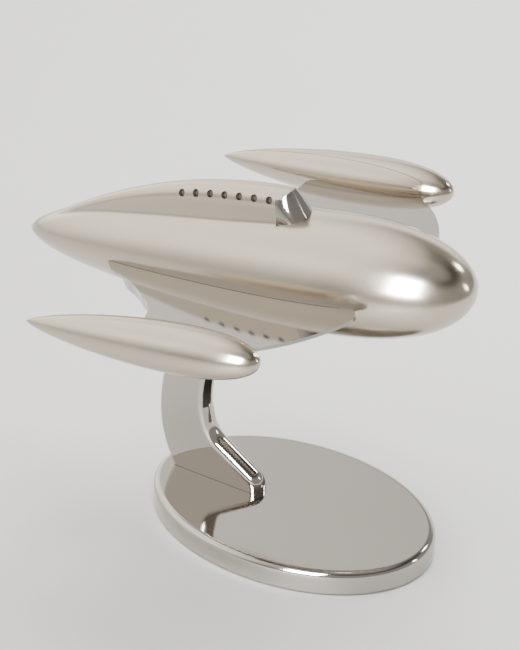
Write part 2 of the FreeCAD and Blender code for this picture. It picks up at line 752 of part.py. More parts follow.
# --------------------------------------------------------------------------- assembly
def build():
    forms = make_hull_forms()
    pod_outer = turned("pod_outer", pod_radius, size("pod_length"))
    pod_inner = turned("pod_inner", pod_radius, size("pod_length"), size("pod_wall"))
    pod_skin = cut("pod_skin", pod_outer, pod_inner)
    doc.recompute()
    pod_solids = [shaped("pod_form_%s" % label, pod_outer.Shape.copy(), pod_frame(side))
                  for label, side in (("starboard", -1), ("port", 1))]
    nodes = make_base() + make_base_fasteners()
    nodes.append(make_strut(forms["lower", "outer"]))
    wing = make_wing(pod_solids)
    framed = [(group("wing_plate", wing), SHIP)]
    framed += [(shell, SHIP) for shell in make_hull(forms, wing)]
    screen_form, screen = make_screen_forms()
    framed.append((make_cabin(forms["upper", "outer"], screen_form, screen), SHIP))
    framed.append((make_windscreen(screen, forms["upper", "outer"]), SHIP))
    framed += [(node, SHIP) for node in make_ship_fasteners(forms, wing)]
    pod = make_port_pod(pod_skin)
    framed += pod
    doc.recompute()
    for node, frame in framed:
        node.Placement = frame
    nodes += [node for node, frame in framed] + [mirrored(node) for node, frame in pod]
    doc.recompute()
    return nodes


def faults(node):
    """What is wrong with a finished sub-part, as a list of words."""
    shape = node.Shape
    if shape.isNull():
        return ["null shape"]
    wrong = [] if shape.isValid() else ["invalid shape"]
    if not shape.Solids or min(solid.Volume for solid in shape.Solids) < 1:
        wrong.append("no solid, or an empty one")
    return wrong


def export(nodes):
    """Check every object and sub-part, then write one STEP file for each node."""
    failed = [o.Name for o in doc.Objects if {"Invalid", "Error"} & set(o.State)]
    failed += ["%s: %s" % (node.Name, word) for node in nodes for word in faults(node)]
    if failed:
        raise RuntimeError("not exported: " + ", ".join(failed))
    os.makedirs("parts", exist_ok=True)
    for node in nodes:
        node.Label = node.Name
        node.Shape.exportStep("parts/%s.step" % node.Label)
        centre = node.Shape.CenterOfGravity
        print("%-28s %2d solids %9.1f mm3  centre %7.1f %7.1f %7.1f" % (
            node.Label, len(node.Shape.Solids), node.Shape.Volume, centre.x, centre.y, centre.z))


export(build())
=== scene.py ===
import math

import bmesh
import bpy
import numpy as np
from mathutils import Matrix, Vector


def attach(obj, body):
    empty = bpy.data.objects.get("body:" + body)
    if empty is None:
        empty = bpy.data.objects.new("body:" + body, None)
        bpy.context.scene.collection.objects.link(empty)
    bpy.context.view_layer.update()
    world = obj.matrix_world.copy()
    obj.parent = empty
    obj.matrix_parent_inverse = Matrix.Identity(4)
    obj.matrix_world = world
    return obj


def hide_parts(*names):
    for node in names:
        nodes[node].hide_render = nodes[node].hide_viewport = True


MM = 0.001

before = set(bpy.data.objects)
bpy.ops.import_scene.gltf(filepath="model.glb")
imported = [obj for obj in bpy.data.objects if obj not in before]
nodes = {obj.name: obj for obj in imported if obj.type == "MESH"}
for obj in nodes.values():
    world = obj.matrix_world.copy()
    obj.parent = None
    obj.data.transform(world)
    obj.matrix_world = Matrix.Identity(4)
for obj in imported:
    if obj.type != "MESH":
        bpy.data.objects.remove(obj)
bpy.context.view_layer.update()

# --------------------------------------------------------------------------- sizes, millimetres
TAIL_X, TAIL_Z, PITCH = -265.6, 210.7, math.radians(11.7)
HULL_LENGTH, HULL_GIRTH, HULL_SWELL, CREASE, HULL_WALL = 448.0, 40.0, 38.0, 2.5, 3.0
POD_LENGTH, POD_GIRTH, POD_SWELL = 234.5, 23.0, 7.0
POD_TAIL, POD_SPREAD, POD_RISE, POD_TRIM = 100.1, 150.2, 3.8, math.radians(1.1)
CAP_FRONT, CAP_TILT, CAP_INSET, CAP_INSET_AT = 213.0, math.radians(3.35), 2.3, 73.0
SPINE_PEAK, SPINE_PEAK_AT, SPINE_RADIUS, SPINE_END = 75.0, 262.0, 470.0, 273.6
SPINE_TIP_ROOF, SPINE_ROOF, SPINE_FLARE, SPINE_FLARE_DROP = 4.0, 13.5, 5.0, 20.0
SPINE_GROW_FROM, SPINE_GROW_OVER, SPINE_BLEND = 20.0, 210.0, 3.0
PORTHOLES, PORTHOLE_FIRST, PORTHOLE_PITCH = 7, 176.0, 15.2
PORTHOLE_RADIUS, PORTHOLE_DEPTH, PORTHOLE_ANGLE = 3.3, 5.0, math.radians(28)
BASE_A, BASE_B, BASE_LIFT, BASE_TOP = 131.5, 88.0, 0.5, 22.2
BASE_TOP_ROUND, BASE_FOOT_ROUND = 6.0, 1.0
BASE_STEPS, FOOT_STEPS, ROUND_STEPS = 360, 6, 24
FOOT = (-117.0, -30.5, 9.25, 3.0, 9.0)      # pylon foot: rear, front, half width, corner rounds
FOOT_BEVEL, FOOT_SEAM_RADIUS, CORNER_STEPS = 0.45, 0.3, 12
ROOT_FROM, ROOT_TO, ROOT_STEPS, ROOT_SEAM_RADIUS = 106, 351, 120, 0.33
WING_BEVEL, WING_EDGE_FROM, WING_EDGE_OUT = 1.35, 300, 40
HOOD_REACH, HOOD_HALF, HOOD_LOW, HOOD_HIGH = 300, 30, 40, 90
CAP_GAP, BLOCK_REACH, BLOCK_SIDE, BLOCK_HALF = 0.35, -40, -60, 40
INNER_SCALE = 63        # the inner skin's radius is the outer's less the wall over this
HULL_STEPS, LOWER_SHARES = 300, 110
CABIN_SHARES = ((0, 40), (0.29, 140), (0.71, 41), 1)      # where closer steps begin, and how many
POD_STEPS, POD_SIDES = 220, 160
SEAM_SIDES = 8

SHIP = Matrix.Translation((TAIL_X, 0, TAIL_Z)) @ Matrix.Rotation(-PITCH, 4, "Y")


def pod_frame(side):
    place = Matrix.Translation((POD_TAIL, side * POD_SPREAD, POD_RISE))
    return SHIP @ place @ Matrix.Rotation(POD_TRIM, 4, "Y")


# --------------------------------------------------------------------------- mesh helpers
def build(name, verts, faces, place=Matrix.Identity(4)):
    """A mesh object from points in millimetres, placed in the row frame in metres."""
    mesh = bpy.data.meshes.new(name)
    mesh.from_pydata([tuple(place @ Vector(v) * MM) for v in verts], [], faces)
    mesh.validate()
    obj = bpy.data.objects.new(name, mesh)
    bpy.context.scene.collection.objects.link(obj)
    return obj


def tidy(obj, angle=30, merge=1e-6):
    """Weld, point the faces outwards, and shade smooth up to an angle."""
    bm = bmesh.new()
    bm.from_mesh(obj.data)
    bmesh.ops.remove_doubles(bm, verts=bm.verts, dist=merge)
    bmesh.ops.dissolve_degenerate(bm, dist=merge, edges=bm.edges)
    bmesh.ops.recalc_face_normals(bm, faces=bm.faces)
    bm.to_mesh(obj.data)
    bm.free()
    for polygon in obj.data.polygons:
        polygon.use_smooth = True
    obj.data.set_sharp_from_angle(angle=math.radians(angle))
    obj.data.update()
    return obj


def boolean(obj, tool, operation):
    """Apply a boolean with a tool object; the tool is left in place."""
    modifier = obj.modifiers.new("cut", "BOOLEAN")
    modifier.operation = operation
    modifier.solver = "EXACT"
    modifier.object = tool
    bpy.context.view_layer.update()
    depsgraph = bpy.context.evaluated_depsgraph_get()
    result = bpy.data.meshes.new_from_object(obj.evaluated_get(depsgraph))
    obj.modifiers.clear()
    obj.data = result
    return obj


def discard(obj):
    bpy.data.objects.remove(obj)


def strip(first, second, closed):
    """Quads between two rows of vertex numbers of equal length."""
    count = len(first)
    last = count if closed else count - 1
    return [(first[i], first[(i + 1) % count], second[(i + 1) % count], second[i])
            for i in range(last)]


# --------------------------------------------------------------------------- turned forms
def hull_radius(s):
    return 2 * math.sqrt(max(0.0, s * (1 - s))) * (HULL_GIRTH + HULL_SWELL * s ** 2)


def pod_radius(s):
    return 2 * s ** 0.75 * math.sqrt(max(0.0, 1 - s)) * (POD_GIRTH + POD_SWELL * s ** 3)


def cosine_steps(count, low=0.0, high=1.0):
    """Steps that crowd towards both ends."""
    return [low + (high - low) * (1 - math.cos(math.pi * i / count)) / 2 for i in range(count + 1)]


def revolve(name, radius_at, length, stations, segments, place):
    """A closed body of revolution about its X axis."""
    verts = [(0, 0, 0)]
    faces = []
    rings = []
    for s in cosine_steps(stations)[1:-1]:
        ring = []
        for k in range(segments):
            a = 2 * math.pi * k / segments
            ring.append(len(verts))
            verts.append((s * length, radius_at(s) * math.cos(a), radius_at(s) * math.sin(a)))
        rings.append(ring)
    tip = len(verts)
    verts.append((length, 0, 0))
    for a, b in zip(rings, rings[1:]):
        faces += strip(a, b, True)
    for k in range(segments):
        following = (k + 1) % segments
        faces.append((0, rings[0][following], rings[0][k]))
        faces.append((tip, rings[-1][k], rings[-1][following]))
    return build(name, verts, faces, place)


# --------------------------------------------------------------------------- hull
def crease_ends():
    """Fractions of the length where the hull's radius equals the crease offset."""
    ends = []
    for low, high in ((0.0, 0.3), (1.0, 0.7)):
        for _ in range(60):
            middle = (low + high) / 2
            if hull_radius(middle) < CREASE:
                low = middle
            else:
                high = middle
        ends.append((low + high) / 2)
    return ends


def spine_roof(u):
    grown = min(1.0, max(0.0, (u - SPINE_GROW_FROM) / SPINE_GROW_OVER))
    return SPINE_TIP_ROOF + (SPINE_ROOF - SPINE_TIP_ROOF) * grown


def spine_top(u):
    return SPINE_PEAK - (u - SPINE_PEAK_AT) ** 2 / (2 * SPINE_RADIUS)


def cabin_reach(u, angle):
    """Distance from the upper half's axis to the cabin's skin in a direction."""
    roof = spine_roof(u)
    centre = spine_top(u) - roof + CREASE
    if centre < 0:
        return 0.0
    across, up = math.cos(angle), math.sin(angle)
    # the round roof
    along = centre * up
    gap = along * along - (centre * centre - roof * roof)
    if gap > 0:
        reach = along + math.sqrt(gap)
        if reach * up >= centre:
            return reach
    # the flared side: across * t = roof + (centre - up * t) * slope
    slope = SPINE_FLARE / SPINE_FLARE_DROP
    return (roof + centre * slope) / max(1e-6, abs(across) + up * slope)


def soft_max(a, b, width):
    blend = max(width - abs(a - b), 0.0) / width
    return max(a, b) + blend * blend * width / 4


def half_hull(name, upper):
    """One half of the hull shell: outer skin, inner skin and the joint face between them."""
    low, high = crease_ends()
    sign = 1 if upper else -1
    stations = [s * HULL_LENGTH for s in cosine_steps(HULL_STEPS, low, high)]
    if upper:      # closer steps where the cabin stands
        stations = sorted(stations + [SPINE_END, SPINE_END + 0.02])
        (tail, tails), (cabin, cabins), (nose, noses), end = CABIN_SHARES
        shares = np.concatenate([np.linspace(tail, cabin, tails, endpoint=False),
                                 np.linspace(cabin, nose, cabins, endpoint=False),
                                 np.linspace(nose, end, noses)])
    else:
        shares = np.linspace(0, 1, LOWER_SHARES)
    verts = []
    rows = {"outer": [], "inner": []}
    for u in stations:
        s = u / HULL_LENGTH
        for skin in ("outer", "inner"):
            if skin == "outer":
                radius, x = hull_radius(s), u
            else:
                radius = hull_radius(s) * (1 - HULL_WALL / INNER_SCALE)
                x = HULL_WALL + s * (HULL_LENGTH - 2 * HULL_WALL)
            radius = max(radius, CREASE)
            start = math.asin(min(1.0, CREASE / radius))
            row = []
            for share in shares:
                angle = start + (math.pi - 2 * start) * share
                r = radius
                if upper and skin == "outer" and u <= SPINE_END:
                    reach = cabin_reach(u, angle)
                    if reach > r - SPINE_BLEND:
                        r = soft_max(r, reach, SPINE_BLEND)
                w = sign * (r * math.sin(angle) - CREASE)
                row.append(len(verts))
                verts.append((x, r * math.cos(angle), w))
            rows[skin].append(row)
    faces = []
    for skin in ("outer", "inner"):
        for a, b in zip(rows[skin], rows[skin][1:]):
            faces += strip(a, b, False)
    for end in (0, -1):
        rim_outer = [row[end] for row in rows["outer"]]
        rim_inner = [row[end] for row in rows["inner"]]
        faces += strip(rim_outer, rim_inner, False)
    faces += strip(rows["outer"][0], rows["inner"][0], False)
    faces += strip(rows["outer"][-1], rows["inner"][-1], False)
    return build(name, verts, faces, SHIP)


def rod(start, direction, radius, length, segments=48):
    """Points and faces of a short cylinder in the ship frame."""
    direction = direction.normalized()
    side = direction.orthogonal().normalized()
    other = direction.cross(side)
    verts = []
    rings = []
    for distance in (0.0, length):
        ring = []
        for k in range(segments):
            a = 2 * math.pi * k / segments
            ring.append(len(verts))
            verts.append(start + direction * distance
                         + (side * math.cos(a) + other * math.sin(a)) * radius)
        rings.append(ring)
    faces = strip(rings[0], rings[1], True) + [tuple(reversed(rings[0])), tuple(rings[1])]
    return verts, faces


def porthole_tool():
    verts, faces = [], []
    for side in (-1, 1):
        for i in range(PORTHOLES):
            u = PORTHOLE_FIRST + i * PORTHOLE_PITCH
            outward = Vector((0, side * math.cos(PORTHOLE_ANGLE), math.sin(PORTHOLE_ANGLE)))
            centre = Vector((u, 0, spine_top(u) - spine_roof(u)))
            start = centre + outward * (spine_roof(u) - PORTHOLE_DEPTH)
            v, f = rod(start, outward, PORTHOLE_RADIUS, PORTHOLE_DEPTH + 5)
            base = len(verts)
            verts += v
            faces += [tuple(base + k for k in face) for face in f]
    return tidy(build("porthole_tool", verts, faces, SHIP))


def make_hull():
    upper = tidy(half_hull("hull_upper_skin", True), 30)
    tool = porthole_tool()
    boolean(upper, tool, "DIFFERENCE")
    discard(tool)
    tidy(upper, 32)
    lower = tidy(half_hull("hull_lower_skin", False), 30)
    return upper, lower


# --------------------------------------------------------------------------- pods
def cap_block(name, place, margin):
    """The region of a pod that its inboard cap fills, in the port pod's frame."""
    corners = []
    front = CAP_FRONT - margin
    for x in (BLOCK_REACH, front):      # on the tilted joint plane
        line = -CAP_INSET - margin - math.tan(CAP_TILT) * (x - CAP_INSET_AT)
        corners.append(Vector((x, line, 0)))
    corners += [Vector((front, BLOCK_SIDE, 0)), Vector((BLOCK_REACH, BLOCK_SIDE, 0))]
    verts = [(p.x, p.y, z) for z in (-BLOCK_HALF, BLOCK_HALF) for p in corners]
    faces = [(3, 2, 1, 0), (4, 5, 6, 7)] + [(i, (i + 1) % 4, 4 + (i + 1) % 4, 4 + i)
                                            for i in range(4)]
    return tidy(build(name, verts, faces, place))


def make_pod(side):
    label = "port" if side > 0 else "starboard"
    place = pod_frame(side) @ Matrix.Scale(side, 4, (0, 1, 0))
    shell = tidy(revolve(label + "_pod_skin", pod_radius, POD_LENGTH, POD_STEPS, POD_SIDES, place))
    cap = shell.copy()
    cap.data = shell.data.copy()
    cap.name = label + "_pod_cap_skin"
    bpy.context.scene.collection.objects.link(cap)
    outer = cap_block("block_outer", place, 0.0)
    inner = cap_block("block_inner", place, CAP_GAP)
    boolean(shell, outer, "DIFFERENCE")
    boolean(cap, inner, "INTERSECT")
    discard(outer)
    discard(inner)
    return tidy(shell), tidy(cap)


# --------------------------------------------------------------------------- base
def make_base():
    """Oval plate: small round at the foot, generous round at the top rim."""
    profile = [(BASE_FOOT_ROUND + 0.6, 0.0)]
    for i in range(FOOT_STEPS + 1):
        a = math.pi / 2 * i / FOOT_STEPS
        profile.append((BASE_FOOT_ROUND * (1 - math.sin(a)), BASE_FOOT_ROUND * (1 - math.cos(a))))
    height = BASE_TOP - BASE_LIFT
    for i in range(ROUND_STEPS + 1):
        a = math.pi / 2 * i / ROUND_STEPS
        profile.append((BASE_TOP_ROUND * (1 - math.cos(a)),
                        height - BASE_TOP_ROUND * (1 - math.sin(a))))
    profile.append((BASE_TOP_ROUND + 0.3, height))
    profile.append((BASE_TOP_ROUND + 3.0, height))
    verts, rings = [], []
    for inset, z in profile:
        ring = []
        for k in range(BASE_STEPS):
            a = 2 * math.pi * k / BASE_STEPS
            normal = Vector((math.cos(a) / BASE_A, math.sin(a) / BASE_B, 0)).normalized()
            ring.append(len(verts))
            verts.append((BASE_A * math.cos(a) - normal.x * inset,
                          BASE_B * math.sin(a) - normal.y * inset, BASE_LIFT + z))
        rings.append(ring)
    faces = []
    for a, b in zip(rings, rings[1:]):
        faces += strip(a, b, True)
    faces += [tuple(reversed(rings[0])), tuple(rings[-1])]
    return tidy(build("base_skin", verts, faces), 40)


# --------------------------------------------------------------------------- hairline seams, thin tubes that carry painted shade where parts meet
UP = Vector((0, 0, 1))


def seam_ring(verts, point, out, radius):
    """Add a small ring about a point of a seam, and return its vertex numbers."""
    ring = []
    for k in range(SEAM_SIDES):
        a = 2 * math.pi * k / SEAM_SIDES
        ring.append(len(verts))
        verts.append(point + (out * math.cos(a) + UP * math.sin(a)) * radius)
    return ring


def root_seam(side):
    """A thin tube along the joint between the wing and the hull, painted near-black as painted
    shade.
    """
    points = []
    for i in range(ROOT_STEPS + 1):
        u = ROOT_FROM + (ROOT_TO - ROOT_FROM) * i / ROOT_STEPS
        v = math.sqrt(hull_radius(u / HULL_LENGTH) ** 2 - CREASE ** 2)
        points.append(Vector((u, side * v, 0.0)))
    verts, rings = [], []
    for i, point in enumerate(points):
        ahead = points[min(i + 1, ROOT_STEPS)] - points[max(i - 1, 0)]
        rings.append(seam_ring(verts, point, UP.cross(ahead).normalized(), ROOT_SEAM_RADIUS))
    faces = []
    for a, b in zip(rings, rings[1:]):
        faces += strip(a, b, True)
    faces += [tuple(reversed(rings[0])), tuple(rings[-1])]
    return tidy(build(("port" if side > 0 else "starboard") + "_root_seam", verts, faces, SHIP))


# --------------------------------------------------------------------------- softened CAD copies
def softened(node, name, bevels, angle=30):
    """A copy of a CAD node with its rims rounded. bevels lists (test, width, segments)."""
    source = nodes[node]
    obj = bpy.data.objects.new(name, source.data.copy())
    bpy.context.scene.collection.objects.link(obj)
    bm = bmesh.new()
    bm.from_mesh(obj.data)
    bmesh.ops.remove_doubles(bm, verts=bm.verts, dist=2e-6)
    bmesh.ops.dissolve_limit(bm, angle_limit=math.radians(0.6), verts=bm.verts, edges=bm.edges)
    for test, width, segments in bevels:
        chosen = [e for e in bm.edges if len(e.link_faces) == 2
                  and e.calc_face_angle(0.0) > math.radians(angle) and test(e)]
        bmesh.ops.bevel(bm, geom=chosen, offset=width * MM, segments=segments, profile=0.5,
                        affect="EDGES", clamp_overlap=True, loop_slide=True)
    bm.to_mesh(obj.data)
    bm.free()
    tidy(obj, angle)
    modifier = obj.modifiers.new("normals", "WEIGHTED_NORMAL")
    modifier.keep_sharp = True
    return obj


def in_ship(point):
    return SHIP.inverted() @ (point / MM)


def wing_leading(edge):
    a, b = (in_ship(v.co) for v in edge.verts)
    level = abs(a.z - b.z) < 0.01
    u = (a.x + b.x) / 2
    v = abs(a.y + b.y) / 2
    return level and u > WING_EDGE_FROM and v > WING_EDGE_OUT


def make_wing():
    return softened("wing_plate", "wing_skin", [(wing_leading, WING_BEVEL, 5)])


def make_hood():
    """The cabin's thin roof over the windscreen, forward of the end of its sides."""
    hood = softened("cabin_spine", "hood_skin", [])
    hood.modifiers.clear()
    corners = [(u, v, w) for w in (HOOD_LOW, HOOD_HIGH) for u, v in
               ((SPINE_END, -HOOD_HALF), (HOOD_REACH, -HOOD_HALF),
                (HOOD_REACH, HOOD_HALF), (SPINE_END, HOOD_HALF))]
    faces = [(3, 2, 1, 0), (4, 5, 6, 7)] + [(i, (i + 1) % 4, 4 + (i + 1) % 4, 4 + i)
                                            for i in range(4)]
    bay = tidy(build("hood_bay", corners, faces, SHIP))
    boolean(hood, bay, "INTERSECT")
    discard(bay)
    return tidy(hood, 40)


def foot_seam():
    """A thin tube at the joint where the pylon stands on the base, painted near-black as painted
    shade.
    """
    rear, front, half, tail_round, nose_round = FOOT
    path = []
    for x, y, r, start in ((front - nose_round, half - nose_round, nose_round, 0),
                           (rear + tail_round, half - tail_round, tail_round, 90),
                           (rear + tail_round, tail_round - half, tail_round, 180),
                           (front - nose_round, nose_round - half, nose_round, 270)):
        for i in range(CORNER_STEPS + 1):
            a = math.radians(start + 90 * i / CORNER_STEPS)
            path.append(Vector((x + r * math.cos(a), y + r * math.sin(a), BASE_TOP)))
    count = len(path)
    verts, rings = [], []
    for i, point in enumerate(path):
        ahead = path[(i + 1) % count] - path[i - 1]
        rings.append(seam_ring(verts, point, ahead.cross(UP).normalized(), FOOT_SEAM_RADIUS))
    faces = []
    for i in range(count):
        faces += strip(rings[i], rings[(i + 1) % count], True)
    return tidy(build("foot_seam", verts, faces))


def foot_rim(edge):
    return all(abs(v.co.z / MM - BASE_TOP) < 0.02 for v in edge.verts)


def make_strut():
    return softened("strut", "strut_skin", [(foot_rim, FOOT_BEVEL, 2)], 40)


# --------------------------------------------------------------------------- materials
def new_material(name):
    material = bpy.data.materials.new(name)
    material.use_nodes = True
    tree = material.node_tree
    tree.nodes.clear()
    out = tree.nodes.new("ShaderNodeOutputMaterial")
    shader = tree.nodes.new("ShaderNodeBsdfPrincipled")
    tree.links.new(shader.outputs["BSDF"], out.inputs["Surface"])
    return material, tree, shader


def add_node(tree, kind, **settings):
    node = tree.nodes.new(kind)
    for key, value in settings.items():
        if hasattr(node, key):
            setattr(node, key, value)
        else:
            node.inputs[key.replace("_", " ")].default_value = value
    return node


def ship_coordinates(tree):
    """Object coordinates turned so that X runs along the hull."""
    source = add_node(tree, "ShaderNodeTexCoord")
    turn = add_node(tree, "ShaderNodeMapping", vector_type="POINT")
    turn.inputs["Rotation"].default_value = (0, PITCH, 0)
    tree.links.new(source.outputs["Object"], turn.inputs["Vector"])
    return turn.outputs["Vector"]


def stretched(tree, vector, scale):
    stretch = add_node(tree, "ShaderNodeMapping", vector_type="POINT")
    stretch.inputs["Scale"].default_value = scale
    tree.links.new(vector, stretch.inputs["Vector"])
    return stretch.outputs["Vector"]


def noise(tree, vector, scale, detail=3.0, roughness=0.5):
    node = add_node(tree, "ShaderNodeTexNoise")
    node.inputs["Scale"].default_value = scale
    node.inputs["Detail"].default_value = detail
    node.inputs["Roughness"].default_value = roughness
    tree.links.new(vector, node.inputs["Vector"])
    return node.outputs["Fac"]


def ramp(tree, value, low, high, out_low, out_high):
    node = add_node(tree, "ShaderNodeMapRange")
    for key, number in (("From Min", low), ("From Max", high), ("To Min", out_low),
                        ("To Max", out_high)):
        node.inputs[key].default_value = number
    tree.links.new(value, node.inputs["Value"])
    return node.outputs["Result"]


def blend_colour(tree, factor, low, high):
    node = add_node(tree, "ShaderNodeMix", data_type="RGBA")
    node.inputs[6].default_value = (*low, 1)
    node.inputs[7].default_value = (*high, 1)
    tree.links.new(factor, node.inputs[0])
    return node.outputs[2]


def metal(name, light, dark, roughness, brush, wave):
    """Nickel: cloudy tint, fine polishing lines along the hull, and a slight waviness."""
    material, tree, shader = new_material(name)
    vector = ship_coordinates(tree)
    shader.inputs["Metallic"].default_value = 1.0
    cloud = noise(tree, vector, 9.0, 4.0)
    tree.links.new(blend_colour(tree, cloud, dark, light), shader.inputs["Base Color"])
    lines = noise(tree, stretched(tree, vector, (6, 260, 260)), 6.0, 5.0, 0.6)
    patches = noise(tree, vector, 22.0, 3.0)
    both = add_node(tree, "ShaderNodeMath", operation="ADD")
    tree.links.new(lines, both.inputs[0])
    tree.links.new(patches, both.inputs[1])
    tree.links.new(ramp(tree, both.outputs[0], 0.6, 1.4, roughness[0], roughness[1]),
                   shader.inputs["Roughness"])
    bump = add_node(tree, "ShaderNodeBump")
    bump.inputs["Strength"].default_value = brush
    bump.inputs["Distance"].default_value = 0.00002
    tree.links.new(lines, bump.inputs["Height"])
    sway = add_node(tree, "ShaderNodeBump")
    sway.inputs["Strength"].default_value = wave
    sway.inputs["Distance"].default_value = 0.001
    tree.links.new(noise(tree, vector, 14.0, 1.0), sway.inputs["Height"])
    tree.links.new(bump.outputs["Normal"], sway.inputs["Normal"])
    tree.links.new(sway.outputs["Normal"], shader.inputs["Normal"])
    return material


def painted_gap_shade(name):
    """Painted shade: a near-black finish that stands in for the shade inside a joint or a drilled
    hole.
    """
    material, tree, shader = new_material(name)
    vector = add_node(tree, "ShaderNodeTexCoord").outputs["Object"]
    spots = noise(tree, vector, 700.0, 3.0)
    tree.links.new(blend_colour(tree, spots, (0.05, 0.046, 0.042), (0.10, 0.09, 0.08)),
                   shader.inputs["Base Color"])
    shader.inputs["Metallic"].default_value = 1.0
    shader.inputs["Roughness"].default_value = 0.35
    return material


def felt():
    material, tree, shader = new_material("felt")
    vector = add_node(tree, "ShaderNodeTexCoord").outputs["Object"]
    fuzz = noise(tree, vector, 900.0, 6.0, 0.7)
    tree.links.new(blend_colour(tree, fuzz, (0.012, 0.012, 0.013), (0.05, 0.05, 0.052)),
                   shader.inputs["Base Color"])
    shader.inputs["Roughness"].default_value = 0.95
    bump = add_node(tree, "ShaderNodeBump")
    bump.inputs["Strength"].default_value = 0.6
    bump.inputs["Distance"].default_value = 0.0004
    tree.links.new(fuzz, bump.inputs["Height"])
    tree.links.new(bump.outputs["Normal"], shader.inputs["Normal"])
    return material


def paint(obj, material):
    obj.data.materials.clear()
    obj.data.materials.append(material)
    for polygon in obj.data.polygons:
        polygon.material_index = 0


def in_porthole(point):
    """Whether a point of the cabin lies on the wall or floor of a drilled hole."""
    q = in_ship(point)
    i = round((q.x - PORTHOLE_FIRST) / PORTHOLE_PITCH)
    if not 0 <= i < PORTHOLES:
        return False
    u = PORTHOLE_FIRST + i * PORTHOLE_PITCH
    outward = Vector((0, math.copysign(math.cos(PORTHOLE_ANGLE), q.y), math.sin(PORTHOLE_ANGLE)))
    offset = q - Vector((u, 0, spine_top(u) - spine_roof(u)))
    along = offset.dot(outward)
    across = (offset - outward * along).length
    return across < PORTHOLE_RADIUS + 0.02 and spine_roof(u) - PORTHOLE_DEPTH - 0.1 < along \
        < spine_roof(u) - 0.25


def at_foot(point):
    return BASE_TOP - 0.05 < point.z / MM < BASE_TOP + 0.42


# faces that get painted shade: the walls and floors of the drilled holes, and a thin band at the
# strut's foot
PAINTED_SHADE_AT = {"hull_upper_skin": in_porthole, "strut_skin": at_foot}


def paint_shade_in_gaps(obj):
    """Give the faces inside holes and joints the near-black painted shade."""
    test = PAINTED_SHADE_AT.get(obj.name)
    if test is None:
        return
    obj.data.materials.append(gap)
    for polygon in obj.data.polygons:
        if test(polygon.center):
            polygon.material_index = 1


SATIN_LIGHT, SATIN_DARK = (0.475, 0.423, 0.350), (0.445, 0.397, 0.330)
BRIGHT_LIGHT, BRIGHT_DARK = (0.42, 0.393, 0.363), (0.395, 0.370, 0.342)
# painted shade: the wing is the same polished nickel as the strut and base, given a darker tint to
# stand in for the darker reflections on it
SHADED_WING_LIGHT, SHADED_WING_DARK = (0.345, 0.328, 0.308), (0.325, 0.309, 0.290)
satin = metal("satin_nickel", SATIN_LIGHT, SATIN_DARK, (0.16, 0.22), 0.15, 0.05)
polished = metal("polished_nickel", BRIGHT_LIGHT, BRIGHT_DARK, (0.03, 0.07), 0.05, 0.02)
plated = metal("base_nickel", BRIGHT_LIGHT, BRIGHT_DARK, (0.05, 0.09), 0.05, 0.01)
steel = metal("fastener_steel", (0.62, 0.62, 0.61), (0.5, 0.5, 0.5), (0.25, 0.4), 0.3, 0.0)
alloy = metal("spacer_alloy", (0.75, 0.75, 0.76), (0.66, 0.66, 0.67), (0.3, 0.42), 0.4, 0.0)
caps = metal("cap_nickel", SATIN_LIGHT, SATIN_DARK, (0.10, 0.15), 0.05, 0.03)
shaded_wing_nickel = metal("wing_nickel_painted_shade", SHADED_WING_LIGHT, SHADED_WING_DARK, (0.05, 0.09), 0.05, 0.02)
# painted shade: the windscreen is polished nickel like the strut, given a darker tint to stand in
# for its darker reflections
shaded_visor = metal("visor_nickel_painted_shade", (0.34, 0.32, 0.30), (0.31, 0.292, 0.274), (0.07, 0.12), 0.05, 0.03)
# painted shade for the drilled holes, the strut's foot and the hairline seams
gap = painted_gap_shade("painted_shade_gap")
cloth = felt()

# --------------------------------------------------------------------------- pieces
upper, lower = make_hull()
pieces = [
    (upper, satin, "satin_nickel", ("hull_upper_shell", "cabin_spine")),
    (lower, satin, "satin_nickel", ("hull_lower_shell",)),
    (make_base(), plated, "polished_plate", ("base_plate",)),
    (make_wing(), shaded_wing_nickel, "polished_plate", ("wing_plate",)),
    (make_strut(), polished, "polished_plate", ("strut",)),
    (make_hood(), satin, "satin_nickel", ()),
]
for side in (-1, 1):
    shell, cap = make_pod(side)
    label = "port" if side > 0 else "starboard"
    pieces.append((shell, satin, "satin_nickel", (label + "_pod_shell",)))
    pieces.append((cap, caps, "polished_plate", (label + "_pod_inner_cap",)))
for obj, material, slot, replaced in pieces:
    paint(obj, material)
    paint_shade_in_gaps(obj)
    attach(obj, "root")
    if replaced:
        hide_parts(*replaced)

# the seams get the near-black painted shade of the joints
for seam in (root_seam(-1), root_seam(1), foot_seam()):
    paint(seam, gap)
    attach(seam, "root")

CAD_LOOKS = {
    "base_felt": cloth, "strut": polished, "windscreen": shaded_visor, "lower_spacers": alloy,
    "upper_spacers": alloy, "base_bolts": steel, "base_washers": steel, "tie_rods": steel,
    "tie_rod_nuts": steel, "tie_rod_washers": steel, "cabin_pins": steel,
    "windscreen_pin": steel, "port_pod_pins": steel, "starboard_pod_pins": steel,
    "hull_upper_shell": satin, "hull_lower_shell": satin, "cabin_spine": satin,
    "port_pod_shell": satin, "starboard_pod_shell": satin, "port_pod_inner_cap": caps,
    "starboard_pod_inner_cap": caps, "wing_plate": polished, "base_plate": plated,
}
for name, obj in nodes.items():
    paint(obj, CAD_LOOKS[name])

